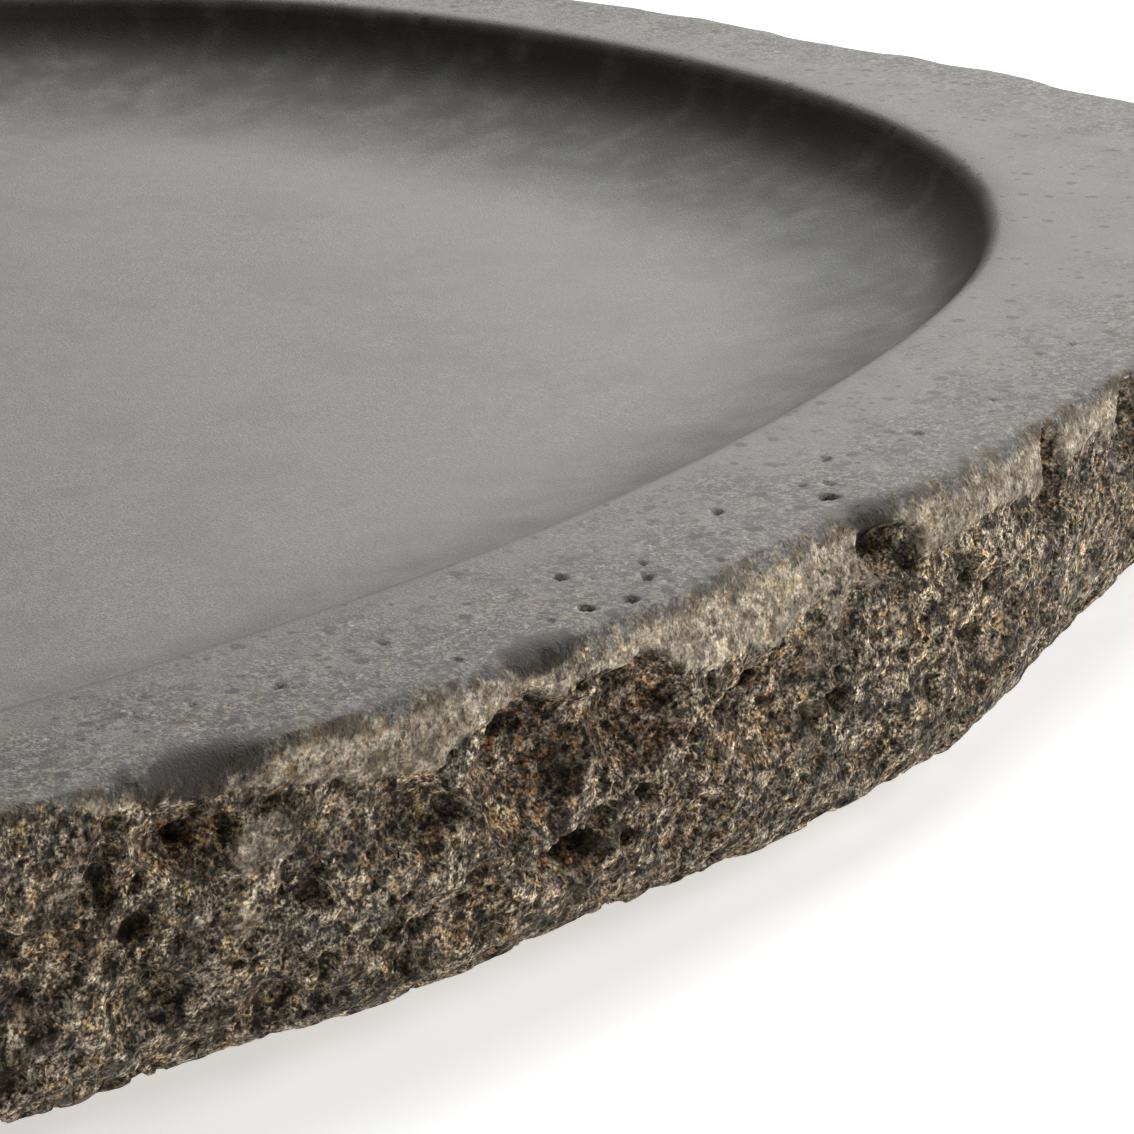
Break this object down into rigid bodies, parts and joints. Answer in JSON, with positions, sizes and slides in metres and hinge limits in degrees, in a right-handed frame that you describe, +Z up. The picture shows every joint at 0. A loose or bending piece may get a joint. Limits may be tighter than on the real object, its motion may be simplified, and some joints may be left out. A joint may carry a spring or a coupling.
{
  "type": "molcajete dish",
  "caption": "Shallow molcajete dish of volcanic stone: honed oval recess and flat rim, raw split edge, small rubber pads underneath.",
  "frame": {"origin": "under the middle of the dish's outline, on the plane that its pads stand on", "axes": "+Z up; +X along the long axis of the recess, which is also the dish's longest extent"},
  "size_m": [0.413, 0.3438, 0.0368],
  "materials": {
    "stone": "honed rim and recess, raw split edge",
    "rubber": "matte"
  },
  "bodies": {
    "root": {"stone_dish": "stone", "pad_front_left": "rubber", "pad_front_right": "rubber", "pad_rear_left": "rubber", "pad_rear_right": "rubber"}
  },
  "joints": []
}
